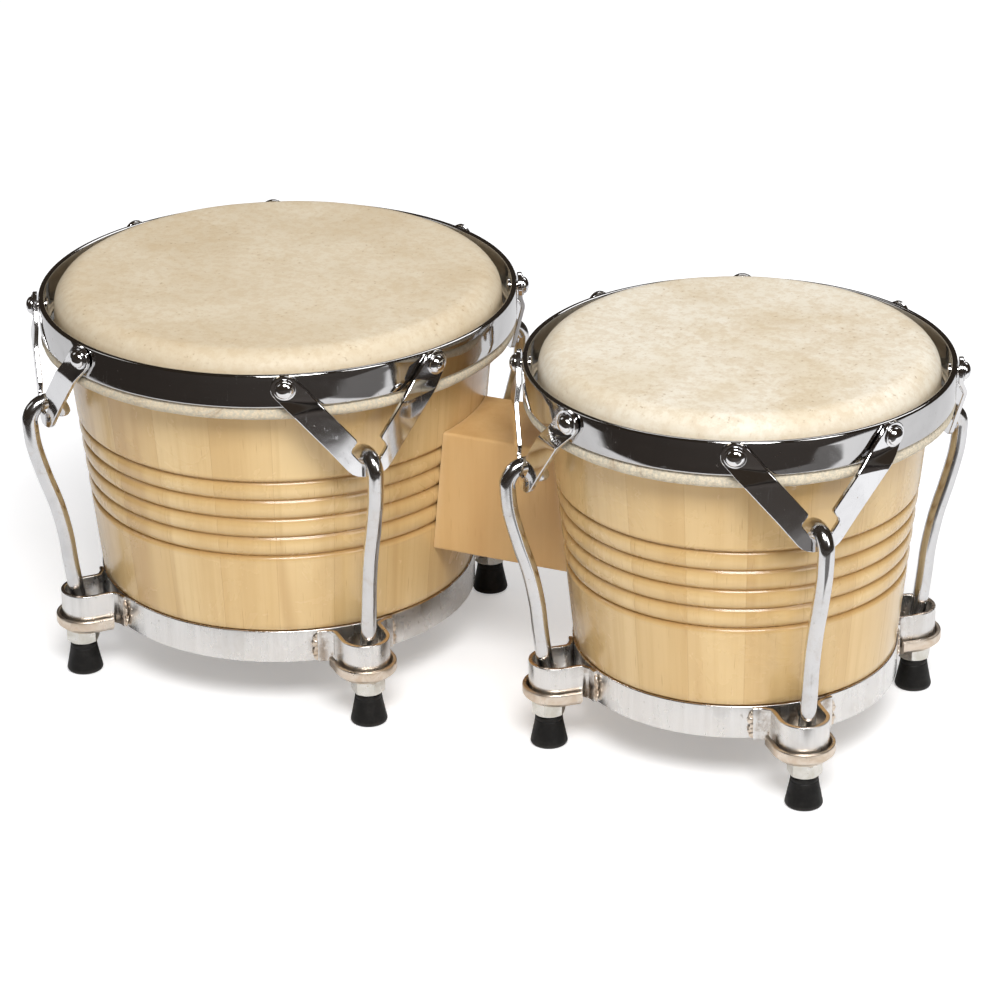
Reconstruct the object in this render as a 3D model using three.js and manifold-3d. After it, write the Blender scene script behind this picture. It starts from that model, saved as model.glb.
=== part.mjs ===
// Bongo drums: two tapered stave drums on a wooden centre block, with rims drawn down by tuning hooks.
// Millimetres, +Z up. The large drum stands on the -X side, the small one on the +X side.
import * as THREE from 'three';
import { mergeVertices } from 'three/addons/utils/BufferGeometryUtils.js';
import Module from 'manifold-3d';

const wasm = await Module();
wasm.setup();

// Driving dimensions
const drumSpacing = 212;        // between the two drum axes
const gap = 0.3;                // running gap between neighbouring pieces
const roundSteps = 40;          // facets round a drum
const smallSteps = 8;           // facets round a rod, rivet or bolt
const headTop = 171.6;          // height of the playing surface
const skinThick = 1.3;
const rimTop = 165.6;
const rimTall = 14.6;
const rimThick = 2.5;
const shellBottom = 24.9;
const shellWall = 7.5;
const shellSlope = 0.1;         // radius gained per mm of height
const ringBottom = 24.6;
const ringTall = 14.6;
const ringThick = 1.8;
const grooveTop = 111.3;        // height of the highest turned groove
const groovePitch = 8.9;
const grooveCount = 5;
const grooveDeep = 1.2;
const grooveHalf = 1.7;
const rodRadius = 3.45;
const footTall = 14;
const nutTall = 6.6;
const nutAcross = 12.8;
const washerTall = 6.8;
const washerPlate = 3.1;
const loopStrip = 1.8;          // sheet thickness of a welded loop
const loopRadius = 9.85;        // middle of the strip, round the loop's end
const strapThick = 2;
const strapGap = 0.9;           // between a strap and the rim under it
const rivetSpread = 33.5;       // from a strap's centre to each rivet, along the rim
const rivetHeight = 160.3;
const hookTop = 121;            // height of the centre of a hook's arch
const archRadius = 8;
const blockTop = 119;
const blockBottom = 63.5;
const blockDeep = 44;           // along Y
const boltRadius = 3;
const boltHeights = [78, 105];

const drums = [
  { name: 'large', rim: 103, turn: 1.9, side: 1 },
  { name: 'small', rim: 89, turn: -4.1, side: -1 },
];
drums[0].x = -(drumSpacing + drums[1].rim - drums[0].rim) / 2;
drums[1].x = drums[0].x + drumSpacing;
const hookAngles = { front_left: -135, front_right: -45, back_right: 45, back_left: 135 };

// Radii that follow from a drum's rim
const shellOuter = (drum, z) => drum.rim - 8.2 - shellSlope * (165 - z);
const skinRadius = (drum) => drum.rim - 6.4;
const ringRadius = (drum) => shellOuter(drum, ringBottom + ringTall) + 0.6;
const rodRing = (drum) => ringRadius(drum) + 14;
const rollRadius = (drum) => drum.rim - 3.1;
const strapSeat = (drum) => drum.rim + 4.2;
const loopCentre = (drum) => rodRing(drum) - 2.4;

const paint = (color, roughness, metalness) => new THREE.MeshStandardMaterial({ color, roughness, metalness });
const finishes = {
  stave: () => paint(0xd9b27c, 0.35, 0),
  block: () => paint(0xe2c393, 0.5, 0),
  skin: () => paint(0xe6d8b6, 0.7, 0),
  chrome: () => paint(0xc9ccd0, 0.12, 1),
  plated: () => paint(0xbfc2c4, 0.35, 1),
  warm: () => paint(0xc7a98c, 0.4, 1),
  nickel: () => paint(0xc4c4be, 0.3, 1),
  rubber: () => paint(0x1c1b1a, 0.8, 0),
};

const object = new THREE.Group();
object.name = 'bongo_drums';

function add(parent, name, geometry, finish) {
  const mesh = new THREE.Mesh(geometry, finish());
  mesh.name = name;
  parent.add(mesh);
  return mesh;
}

// Solids and booleans

function bare(geometry) {
  const clean = new THREE.BufferGeometry();
  clean.setAttribute('position', geometry.getAttribute('position').clone());
  if (geometry.index) clean.setIndex(geometry.index.clone());
  return mergeVertices(clean, 1e-4);
}

function signedVolume(geometry) {
  const points = geometry.getAttribute('position');
  const corner = [0, 1, 2].map(() => new THREE.Vector3());
  let volume = 0;
  for (let i = 0; i < geometry.index.count; i += 3) {
    corner.forEach((v, k) => v.fromBufferAttribute(points, geometry.index.getX(i + k)));
    volume += corner[0].dot(corner[1].cross(corner[2])) / 6;
  }
  return volume;
}

// Returns a welded copy without flat triangles whose faces all look outward.
function closed(geometry) {
  const welded = bare(geometry);
  const flip = signedVolume(welded) < 0;
  const kept = [];
  for (let i = 0; i < welded.index.count; i += 3) {
    const [a, b, c] = [0, 1, 2].map((k) => welded.index.getX(i + k));
    if (a === b || b === c || c === a) continue;
    kept.push(a, flip ? c : b, flip ? b : c);
  }
  welded.setIndex(kept);
  welded.computeVertexNormals();
  return welded;
}

function toSolid(geometry) {
  const shape = closed(geometry);
  const vertProperties = new Float32Array(shape.getAttribute('position').array);
  const triVerts = new Uint32Array(shape.index.array);
  return new wasm.Manifold(new wasm.Mesh({ numProp: 3, vertProperties, triVerts }));
}

function toGeometry(solid) {
  const mesh = solid.getMesh();
  const geometry = new THREE.BufferGeometry();
  geometry.setAttribute('position', new THREE.Float32BufferAttribute(mesh.vertProperties, 3));
  geometry.setIndex(Array.from(mesh.triVerts));
  geometry.computeVertexNormals();
  return geometry;
}

const joined = (parts) => toGeometry(parts.map(toSolid).reduce((sum, part) => sum.add(part)));
const cut = (body, tools) => toGeometry(tools.map(toSolid).reduce((rest, tool) => rest.subtract(tool), toSolid(body)));

// Turns a list of [radius, height] pairs round +Z; a profile off the axis is closed on itself.
function turned(profile, steps) {
  const points = profile.map(([r, z]) => new THREE.Vector2(r, z));
  if (points[0].x > 0) points.push(points[0].clone());
  return closed(new THREE.LatheGeometry(points, steps).rotateX(Math.PI / 2));
}

// Points on an arc, from and to in degrees, as [x, y] pairs.
function arc(x, y, radius, from, to, steps) {
  return Array.from({ length: steps + 1 }, (_, i) => {
    const a = THREE.MathUtils.degToRad(from + ((to - from) * i) / steps);
    return [x + radius * Math.cos(a), y + radius * Math.sin(a)];
  });
}

// Extrudes an outline in the XY plane upward from bottom to top.
function raised(outline, bottom, top, holes = [], steps = 1) {
  const shape = new THREE.Shape(outline.map(([x, y]) => new THREE.Vector2(x, y)));
  shape.holes = holes.map((hole) => new THREE.Path(hole.map(([x, y]) => new THREE.Vector2(x, y))));
  const geometry = new THREE.ExtrudeGeometry(shape, { depth: top - bottom, steps, bevelEnabled: false });
  return closed(geometry.translate(0, 0, bottom));
}

const circle = (x, y, radius, steps) => arc(x, y, radius, 0, 360, steps).slice(0, -1);

// Moves every vertex of a geometry by a function of its position.
function bent(geometry, move) {
  const points = geometry.getAttribute('position');
  const v = new THREE.Vector3();
  for (let i = 0; i < points.count; i += 1) {
    v.fromBufferAttribute(points, i);
    move(v);
    points.setXYZ(i, v.x, v.y, v.z);
  }
  return closed(geometry);
}

// Each drum's turned pieces

function shellProfile(drum) {
  const ringTop = ringBottom + ringTall;
  const rebate = ringRadius(drum) - ringThick - gap;
  const outer = [[rebate, shellBottom], [rebate, ringTop + gap], [shellOuter(drum, ringTop + gap), ringTop + gap]];
  for (let i = grooveCount - 1; i >= 0; i -= 1) {
    const z = grooveTop - i * groovePitch;
    outer.push([shellOuter(drum, z - grooveHalf), z - grooveHalf]);
    outer.push([shellOuter(drum, z) - grooveDeep, z]);
    outer.push([shellOuter(drum, z + grooveHalf), z + grooveHalf]);
  }
  const edge = headTop - skinThick - gap;
  const top = shellOuter(drum, edge);
  outer.push([shellOuter(drum, edge - 5), edge - 5], [top - 1.9, edge - 1], [top - 4, edge]);
  const inner = [[top - shellWall, edge - 3], [rebate - shellWall + 1, shellBottom]];
  return [...outer, ...inner];
}

function boltHoles(drum, radius) {
  return boltHeights.map((z) => {
    const drill = new THREE.CylinderGeometry(radius, radius, 40, smallSteps);
    return drill.rotateZ(Math.PI / 2).translate(drum.side * shellOuter(drum, z), 0, z);
  });
}

function headProfile(drum) {
  const outside = skinRadius(drum);
  const shoulder = 5.5;
  const skirtBottom = rimTop - rimTall + 1.2;
  const bend = (radius) => arc(outside - shoulder, headTop - shoulder, radius, 0, 90, 3);
  return [
    [0, headTop - skinThick],
    ...bend(shoulder - skinThick).reverse(),
    [outside - skinThick, skirtBottom],
    [outside, skirtBottom],
    ...bend(shoulder),
    [0, headTop],
  ];
}

const rollHeight = rimTop - rimTall - 3;

function tuckProfile(drum) {
  const wrap = (radius) => arc(rollRadius(drum), rollHeight, radius, -190, 100, 5);
  return [...wrap(3), ...wrap(2.25).reverse()];
}

function rimProfile(drum) {
  const inside = drum.rim - rimThick;
  const bottom = rimTop - rimTall;
  return [
    [inside, bottom],
    [drum.rim, bottom],
    [drum.rim, rimTop - 0.9],
    [drum.rim - 0.9, rimTop],
    [inside, rimTop],
  ];
}

// Straps, with the V drawn flat and then bent to the rim

function strapOutline() {
  const right = [
    [0, 118.7], [5.5, 119.3], [9.2, 121.8], [17.6, 132.4], [25, 141.2], [31.8, 149.2], [35.6, 153.8],
    ...arc(rivetSpread, rivetHeight, 5.8, -38, 142, 4),
    [25.1, 159.6], [20.4, 153.9], [16.5, 149.2], [10.9, 142.4], [5.2, 135.5], [8, 131], [3.4, 124.9],
  ];
  const left = right.slice(1).reverse().map(([s, z]) => [-s, z]);
  return [...right, [0, 124.4], ...left];
}

function strap(drum) {
  const flat = raised(strapOutline(), -strapThick / 2, strapThick / 2);
  const armBend = THREE.MathUtils.degToRad(11.5);
  const crease = 4;
  const tabRadius = drum.rim + strapGap + strapThick / 2;
  return bent(flat, (v) => {
    const [along, height, out] = [v.x, v.y, v.z];
    const far = Math.sqrt(along * along + crease * crease) - crease;
    const arm = armBend * (along / Math.hypot(along, crease));
    const onArm = new THREE.Vector2(
      strapSeat(drum) - far * Math.sin(armBend) + out * Math.cos(arm),
      along * Math.cos(armBend) + out * Math.sin(arm),
    );
    const round = along / tabRadius;
    const onRim = new THREE.Vector2(Math.cos(round), Math.sin(round)).multiplyScalar(tabRadius + out);
    const blend = THREE.MathUtils.smoothstep(height, rollHeight + 2, rollHeight + 6.5);
    const place = onArm.lerp(onRim, blend);
    v.set(place.x, place.y, height);
  });
}

const rivetAngle = (drum, hand) => (hand * rivetSpread) / (drum.rim + strapGap + strapThick / 2);

function rivet(drum, hand) {
  const plate = strapGap + strapThick;
  const back = -rimThick - 2 * gap;
  const profile = [
    [0, back - 1.2], [3.2, back - 1.2], [3.2, back], [2, back], [2, plate - 0.5], [4.6, plate - 0.5], [4.2, plate + 1.4], [0, plate + 3.3],
  ];
  const body = turned(profile, smallSteps).rotateY(Math.PI / 2).translate(drum.rim, 0, rivetHeight);
  return body.rotateZ(rivetAngle(drum, hand));
}

function rivetHole(drum, hand) {
  const drill = new THREE.CylinderGeometry(2 + gap, 2 + gap, 12, smallSteps).rotateZ(Math.PI / 2);
  return drill.translate(drum.rim, 0, rivetHeight).rotateZ(rivetAngle(drum, hand));
}

// Hooks, along a curve whose steps fall on its own points

class KnotCurve extends THREE.CatmullRomCurve3 {
  getPointAt(t, target) {
    return this.getPoint(t, target);
  }

  getTangentAt(t, target) {
    return this.getTangent(t, target);
  }
}

function hookPath(drum) {
  const thread = rodRing(drum);
  const reach = strapSeat(drum) - 1 + archRadius - thread;
  const lean = [[0, 3.6], [0, 17], [0, 29], [0.11, 41], [0.2, 53], [0.28, 66], [0.46, 81], [0.73, 96], [0.94, 110]];
  const rod = lean.map(([share, z]) => [thread + share * reach, z]);
  const arch = arc(thread + reach - archRadius, hookTop, archRadius, 0, 180, 6);
  const tip = [thread + reach - 2 * archRadius, hookTop - 5];
  return [...rod, ...arch, tip].map(([r, z]) => new THREE.Vector3(r, 0, z));
}

function hook(drum) {
  const points = hookPath(drum);
  const section = new THREE.Shape(circle(0, 0, rodRadius, smallSteps).map(([x, y]) => new THREE.Vector2(x, y)));
  const options = { extrudePath: new KnotCurve(points), steps: points.length - 1, bevelEnabled: false };
  return closed(new THREE.ExtrudeGeometry(section, options));
}

// Bottom ring with its welded loops

function stripOutline(middle, half) {
  const side = (sign) => middle.map(([x, y], i) => {
    const before = middle[Math.max(i - 1, 0)];
    const after = middle[Math.min(i + 1, middle.length - 1)];
    const run = new THREE.Vector2(after[0] - before[0], after[1] - before[1]).normalize();
    return [x - sign * half * run.y, y + sign * half * run.x];
  });
  return [...side(1), ...side(-1).reverse()];
}

function loop(drum, angle) {
  const flange = ringRadius(drum) + 0.3;
  const half = loopStrip / 2;
  const onRing = (y) => [Math.sqrt(flange * flange - y * y), y];
  const start = [onRing(-17), onRing(-13.5), [flange + 0.3, -10.9], [flange + 2.4, -loopRadius]];
  const end = start.map(([x, y]) => [x, -y]).reverse();
  const middle = [...start, ...arc(loopCentre(drum), 0, loopRadius, -90, 90, 5), ...end];
  return raised(stripOutline(middle, half), ringBottom, ringBottom + ringTall).rotateZ(angle);
}

function bottomRing(drum) {
  const outside = ringRadius(drum);
  const inside = outside - ringThick;
  const top = ringBottom + ringTall;
  const band = turned([[inside, ringBottom], [outside, ringBottom], [outside, top], [inside, top]], roundSteps);
  const loops = Object.values(hookAngles).map((a) => loop(drum, THREE.MathUtils.degToRad(a + drum.turn)));
  return joined([band, ...loops]);
}

// Cup washer, nut and foot, drawn with the rod's axis at the drum's rodRing

function cupOutline(drum, radius, inner) {
  return [[inner, -radius], ...arc(loopCentre(drum), 0, radius, -90, 90, 8), [inner, radius]];
}

function cupWasher(drum) {
  const bottom = footTall + gap + nutTall + gap;
  const cupRadius = 13.4;
  const back = ringRadius(drum) + 3.4;
  const centre = loopCentre(drum);
  const form = raised(cupOutline(drum, cupRadius, back), bottom, bottom + washerTall, [], 2);
  const body = bent(form, (v) => {
    if (v.z > bottom + 1) return;
    v.y *= 0.8;
    if (v.x > centre) v.x = centre + (v.x - centre) * 0.8;
  });
  const floor = bottom + washerPlate;
  const pocket = raised(cupOutline(drum, cupRadius - 1.8, back - 5), floor, bottom + washerTall + 5);
  const bore = raised(circle(rodRing(drum), 0, rodRadius + 0.8, smallSteps + 2), bottom - 5, floor + 5);
  return cut(body, [pocket, bore]);
}

function nut(drum) {
  const corner = nutAcross / Math.sqrt(3);
  const bore = circle(rodRing(drum), 0, rodRadius + gap, smallSteps);
  return raised(circle(rodRing(drum), 0, corner, 6), footTall + gap, footTall + gap + nutTall, [bore]);
}

function foot(drum) {
  const bore = rodRadius + gap;
  const profile = [
    [0, 0], [7.3, 0], [7.7, 0.8], [6.4, footTall - 0.8], [5.6, footTall], [bore, footTall], [bore, 3.3], [0, 3.3],
  ];
  return turned(profile, 12).translate(rodRing(drum), 0, 0);
}

// Centre block with its bolts and backing plates

function shellForm(drum) {
  const [low, high] = [blockBottom - 10, blockTop + 10];
  const profile = [[0, low], [shellOuter(drum, low) + gap, low], [shellOuter(drum, high) + gap, high], [0, high]];
  return turned(profile, roundSteps).translate(drum.x, 0, 0);
}

function centreBlock() {
  const half = blockDeep / 2;
  const [left, right] = [drums[0].x + 60, drums[1].x - 50];
  const outline = [[left, -half], [right, -half], [right, half], [left, half]];
  const holes = drums.flatMap((drum) => boltHoles(drum, boltRadius + gap).map((hole) => hole.translate(drum.x, 0, 0)));
  return cut(raised(outline, blockBottom, blockTop), [...drums.map(shellForm), ...holes]);
}

function backingPlate(drum) {
  const thick = 2;
  const [low, high] = [boltHeights[0] - 10, boltHeights[1] + 10];
  const outside = shellOuter(drum, low) - shellWall - 1.6;
  const facing = drum.side > 0 ? 0 : 180;
  const outer = arc(0, 0, outside, facing - 12, facing + 12, 4);
  const inner = arc(0, 0, outside - thick, facing + 12, facing - 12, 4);
  const upright = raised([...outer, ...inner], low, high);
  const leaning = bent(upright, (v) => {
    v.x += drum.side * shellSlope * (v.z - low);
  });
  return cut(leaning, boltHoles(drum, boltRadius + gap));
}

function blockBolt(drum, z) {
  const headTall = 4;
  const inside = shellOuter(drum, boltHeights[0]) - shellWall - 5.2 + shellSlope * (z - boltHeights[0]);
  const length = shellWall + 5.2 + 14;
  const profile = [[0, -headTall], [5.5, -headTall], [5.5, 0], [boltRadius, 0], [boltRadius, length], [0, length]];
  const bolt = turned(profile, smallSteps).rotateY((drum.side * Math.PI) / 2);
  return bolt.translate(drum.side * inside, 0, z);
}

// Assembly

for (const drum of drums) {
  const group = new THREE.Group();
  group.position.x = drum.x;
  object.add(group);
  const name = (part) => `${drum.name}_${part}`;
  const shell = turned(shellProfile(drum), roundSteps);
  add(group, name('shell'), cut(shell, boltHoles(drum, boltRadius + 0.4)), finishes.stave);
  add(group, name('head'), turned(headProfile(drum), roundSteps), finishes.skin);
  add(group, name('head_tuck'), turned(tuckProfile(drum), roundSteps), finishes.skin);
  const wire = arc(rollRadius(drum), rollHeight, 1.7, 0, 360, 5).slice(0, -1);
  add(group, name('flesh_hoop'), turned(wire, roundSteps), finishes.plated);
  const angles = Object.entries(hookAngles).map(([place, a]) => [place, THREE.MathUtils.degToRad(a + drum.turn)]);
  const holes = angles.flatMap(([, a]) => [-1, 1].map((hand) => rivetHole(drum, hand).rotateZ(a)));
  add(group, name('rim'), cut(turned(rimProfile(drum), roundSteps), holes), finishes.chrome);
  add(group, name('bottom_ring'), bottomRing(drum), finishes.plated);
  const strapWithRivets = joined([strap(drum), rivet(drum, -1), rivet(drum, 1)]);
  const pieces = {
    strap: [strapWithRivets, finishes.chrome],
    hook: [hook(drum), finishes.chrome],
    cup_washer: [cupWasher(drum), finishes.warm],
    nut: [nut(drum), finishes.nickel],
    foot: [foot(drum), finishes.rubber],
  };
  for (const [place, angle] of angles) {
    for (const [piece, [geometry, finish]] of Object.entries(pieces)) {
      add(group, name(`${piece}_${place}`), geometry.clone(), finish).rotation.z = angle;
    }
  }
  add(group, name('backing_plate'), backingPlate(drum), finishes.plated);
  add(group, name('block_bolt_lower'), blockBolt(drum, boltHeights[0]), finishes.plated);
  add(group, name('block_bolt_upper'), blockBolt(drum, boltHeights[1]), finishes.plated);
}
add(object, 'centre_block', centreBlock(), finishes.block);

export default object;
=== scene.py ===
import math
import bmesh
import bpy
from mathutils import Matrix, Vector, noise


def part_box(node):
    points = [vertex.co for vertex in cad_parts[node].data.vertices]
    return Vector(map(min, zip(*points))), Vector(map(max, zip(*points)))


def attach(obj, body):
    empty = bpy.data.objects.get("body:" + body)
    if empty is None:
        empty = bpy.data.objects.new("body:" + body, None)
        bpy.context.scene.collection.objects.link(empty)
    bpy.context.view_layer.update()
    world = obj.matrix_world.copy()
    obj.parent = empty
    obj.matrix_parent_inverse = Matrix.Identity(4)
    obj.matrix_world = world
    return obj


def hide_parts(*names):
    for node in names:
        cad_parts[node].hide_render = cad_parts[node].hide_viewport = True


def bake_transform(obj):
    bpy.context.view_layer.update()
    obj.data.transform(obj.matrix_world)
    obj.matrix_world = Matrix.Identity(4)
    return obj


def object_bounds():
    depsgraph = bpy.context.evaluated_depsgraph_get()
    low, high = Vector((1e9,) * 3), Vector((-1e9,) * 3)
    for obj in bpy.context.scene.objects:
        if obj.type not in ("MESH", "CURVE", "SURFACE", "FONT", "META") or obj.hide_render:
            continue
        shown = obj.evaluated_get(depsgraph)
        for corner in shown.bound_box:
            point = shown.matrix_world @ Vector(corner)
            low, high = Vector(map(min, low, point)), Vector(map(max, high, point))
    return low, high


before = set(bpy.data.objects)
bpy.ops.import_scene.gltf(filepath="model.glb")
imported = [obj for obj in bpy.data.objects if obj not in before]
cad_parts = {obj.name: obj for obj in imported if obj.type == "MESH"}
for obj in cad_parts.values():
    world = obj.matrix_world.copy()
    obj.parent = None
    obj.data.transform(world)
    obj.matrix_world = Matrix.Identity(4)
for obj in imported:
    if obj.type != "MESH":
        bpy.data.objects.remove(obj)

cadBox = [list(corner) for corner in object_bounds()]
mm = 0.001
angleOf = {"front_left": -135, "front_right": -45, "back_right": 45, "back_left": 135}
print("frame loaded")


# Each drum's own measures, read from its CAD nodes, in millimetres.
def boxMm(node):
    low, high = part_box(node)
    return [v / mm for v in low], [v / mm for v in high]


def readDrum(name):
    rimBox, shellBox, headBox = (boxMm(name + part) for part in ("_rim", "_shell", "_head"))
    tuckBox, ringBox = boxMm(name + "_head_tuck"), boxMm(name + "_bottom_ring")
    footBox, nutBox = boxMm(name + "_foot_front_left"), boxMm(name + "_nut_front_left")
    cupBox, hookBox = boxMm(name + "_cup_washer_front_left"), boxMm(name + "_hook_front_left")
    x = (rimBox[0][0] + rimBox[1][0]) / 2
    rim = rimBox[1][0] - x
    foot = Vector(((footBox[0][0] + footBox[1][0]) / 2 - x, (footBox[0][1] + footBox[1][1]) / 2))
    return {
        "name": name, "x": x, "side": 1 if x < 0 else -1, "body": name + "_tension_set",
        "rim": rim, "rimLow": rimBox[0][2], "rimTop": rimBox[1][2],
        "shellLow": shellBox[0][2], "shellTop": shellBox[1][2],
        "headTop": headBox[1][2], "skin": headBox[1][0] - x,
        "rollOut": tuckBox[1][0] - x, "rollZ": (tuckBox[0][2] + tuckBox[1][2]) / 2,
        "ringLow": ringBox[0][2], "ringTop": ringBox[1][2],
        "rod": foot.length, "turn": math.degrees(math.atan2(foot.y, foot.x)) + 135,
        "ring": foot.length - 14, "seat": rim + 4.2,
        "footTop": footBox[1][2], "nutLow": nutBox[0][2], "nutTop": nutBox[1][2],
        "cupLow": cupBox[0][2], "cupTop": cupBox[1][2],
        "hookLow": hookBox[0][2], "hookTop": hookBox[1][2],
    }


drums = [readDrum("large"), readDrum("small")]


def shellRadius(drum, z):
    return drum["rim"] - 8.2 - 0.1 * (165 - z)


# Mesh helpers: outlines are in millimetres and become metres at the end.
def toObject(name, bm, sharp=32):
    bmesh.ops.remove_doubles(bm, verts=bm.verts, dist=0.0005)
    bmesh.ops.recalc_face_normals(bm, faces=bm.faces)
    for face in bm.faces:
        face.smooth = True
    for edge in bm.edges:
        if len(edge.link_faces) == 2:
            edge.smooth = edge.calc_face_angle(0) < math.radians(sharp)
    bmesh.ops.scale(bm, vec=(mm, mm, mm), verts=bm.verts)
    mesh = bpy.data.meshes.new(name)
    bm.to_mesh(mesh)
    bm.free()
    piece = bpy.data.objects.new(name, mesh)
    bpy.context.collection.objects.link(piece)
    return piece


def copyTo(base, name, drum, degrees):
    mesh = base.data.copy()
    mesh.name = name
    turn = Matrix.Rotation(math.radians(degrees), 4, "Z")
    mesh.transform(Matrix.Translation((drum["x"] * mm, 0, 0)) @ turn)
    piece = bpy.data.objects.new(name, mesh)
    bpy.context.collection.objects.link(piece)
    return piece


def copiesRound(base, drum, stem):
    made = {}
    for place, degrees in angleOf.items():
        name = f"{drum['name']}_{stem}_{place}"
        made[place] = copyTo(base, name, drum, degrees + drum["turn"])
    bpy.data.objects.remove(base)
    return made


def arc(x, y, radius, start, end, steps):
    angles = (math.radians(start + (end - start) * i / steps) for i in range(steps + 1))
    return [(x + radius * math.cos(a), y + radius * math.sin(a)) for a in angles]


def loft(rings, loopClosed=False, caps=False):
    bm = bmesh.new()
    made = [[bm.verts.new(point) for point in ring] for ring in rings]
    count = len(made[0])
    for i in range(len(made) if loopClosed else len(made) - 1):
        here, there = made[i], made[(i + 1) % len(made)]
        for j in range(count):
            k = (j + 1) % count
            bm.faces.new([here[j], here[k], there[k], there[j]])
    if caps:
        bm.faces.new(made[0])
        bm.faces.new(made[-1])
    return bm


def lathe(profile, steps):
    bm = bmesh.new()
    columns = []
    axisVerts = [bm.verts.new((0, 0, z)) if r < 1e-6 else None for r, z in profile]
    for i in range(steps):
        c, s = math.cos(2 * math.pi * i / steps), math.sin(2 * math.pi * i / steps)
        columns.append([axis or bm.verts.new((r * c, r * s, z)) for (r, z), axis in zip(profile, axisVerts)])
    closed = profile[0][0] > 1e-6
    for i in range(steps):
        here, there = columns[i], columns[(i + 1) % steps]
        for j in range(len(profile) if closed else len(profile) - 1):
            k = (j + 1) % len(profile)
            corners = list(dict.fromkeys((here[j], there[j], there[k], here[k])))
            if len(corners) > 2:
                bm.faces.new(corners)
    return bm


def transformed(bm, matrix):
    bmesh.ops.transform(bm, matrix=matrix, verts=bm.verts)
    return bm


def onDrum(drum, stem, bm, sharp=32):
    # Moves a round piece to its drum's axis.
    transformed(bm, Matrix.Translation((drum["x"], 0, 0)))
    return toObject(f"{drum['name']}_{stem}", bm, sharp)


def finished(piece, material, body=None, replaces=()):
    piece.data.materials.append(material)
    if body:
        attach(piece, body)
    if replaces:
        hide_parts(*replaces)
    return piece


# Shader helpers.
def newGroup(name, amount, outputs):
    # A group takes a vector and one amount, and puts out masks and heights.
    tree = bpy.data.node_groups.new(name, "ShaderNodeTree")
    tree.interface.new_socket(name="Vector", in_out="INPUT", socket_type="NodeSocketVector")
    tree.interface.new_socket(name=amount, in_out="INPUT", socket_type="NodeSocketFloat").default_value = 1.0
    for label in outputs:
        tree.interface.new_socket(name=label, in_out="OUTPUT", socket_type="NodeSocketFloat")
    return tree, tree.nodes.new("NodeGroupInput").outputs


def groupDone(tree, **results):
    sink = tree.nodes.new("NodeGroupOutput")
    for label, socket in results.items():
        tree.links.new(socket, sink.inputs[label])
    return tree


def resized(tree, vector, scale):
    return node(tree, "ShaderNodeVectorMath", {"operation": "SCALE"}, i0=vector, Scale=scale).outputs[0]


def node(tree, kind, settings=None, **links):
    # Makes a node; links name its inputs and give a socket or a value.
    made = tree.nodes.new(kind)
    for key, value in (settings or {}).items():
        setattr(made, key, value)
    for key, value in links.items():
        spot = int(key[1:]) if key[0] == "i" and key[1:].isdigit() else key.replace("_", " ")
        socket = made.inputs[spot]
        if isinstance(value, bpy.types.NodeSocket):
            tree.links.new(value, socket)
        else:
            socket.default_value = value
    return made


def maths(tree, operation, a, b=0.0):
    return node(tree, "ShaderNodeMath", {"operation": operation}, i0=a, i1=b).outputs[0]


def times(tree, a, b):
    return maths(tree, "MULTIPLY", a, b)


def plus(tree, a, b):
    return maths(tree, "ADD", a, b)


def minus(tree, a, b):
    return maths(tree, "SUBTRACT", a, b)


def spread(tree, value, low, high, toLow=0.0, toHigh=1.0):
    made = node(tree, "ShaderNodeMapRange", {"interpolation_type": "SMOOTHSTEP"}, Value=value)
    for label, amount in (("From Min", low), ("From Max", high), ("To Min", toLow), ("To Max", toHigh)):
        made.inputs[label].default_value = amount
    return made.outputs[0]


def mixed(tree, share, first, second):
    return node(tree, "ShaderNodeMix", {"data_type": "RGBA"}, i0=share, i6=first, i7=second).outputs[2]


def ramp(tree, value, stops):
    made = node(tree, "ShaderNodeValToRGB", Fac=value)
    band = made.color_ramp
    while len(band.elements) < len(stops):
        band.elements.new(0.5)
    for element, (place, colour) in zip(band.elements, stops):
        element.position = place
        element.color = colour
    return made.outputs[0]


def noiseAt(tree, vector, scale, detail=3.0, rough=0.5, distort=0.0):
    made = node(tree, "ShaderNodeTexNoise", Vector=vector, Scale=scale, Detail=detail)
    made.inputs["Roughness"].default_value = rough
    made.inputs["Distortion"].default_value = distort
    return made.outputs[0]


def stretched(tree, vector, x, y, z):
    return node(tree, "ShaderNodeVectorMath", {"operation": "MULTIPLY"}, i0=vector, i1=(x, y, z)).outputs[0]


def makeWoodGrain():
    # Grain runs along the vector's Z; the vector is in metres.
    tree, source = newGroup("woodGrain", "Fineness", ("Streaks", "Pores", "Height"))
    vector = resized(tree, source["Vector"], source["Fineness"])
    broad = noiseAt(tree, stretched(tree, vector, 1, 1, 0.05), 95, 4, 0.55, 0.4)
    fine = noiseAt(tree, stretched(tree, vector, 1, 1, 0.022), 560, 3, 0.6)
    streaks = plus(tree, times(tree, broad, 0.62), times(tree, fine, 0.38))
    pores = noiseAt(tree, stretched(tree, vector, 1, 1, 0.06), 1700, 1, 0.4)
    pores = spread(tree, pores, 0.66, 0.78)
    height = minus(tree, streaks, times(tree, pores, 0.8))
    return groupDone(tree, Streaks=spread(tree, streaks, 0.3, 0.7), Pores=pores, Height=height)


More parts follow.
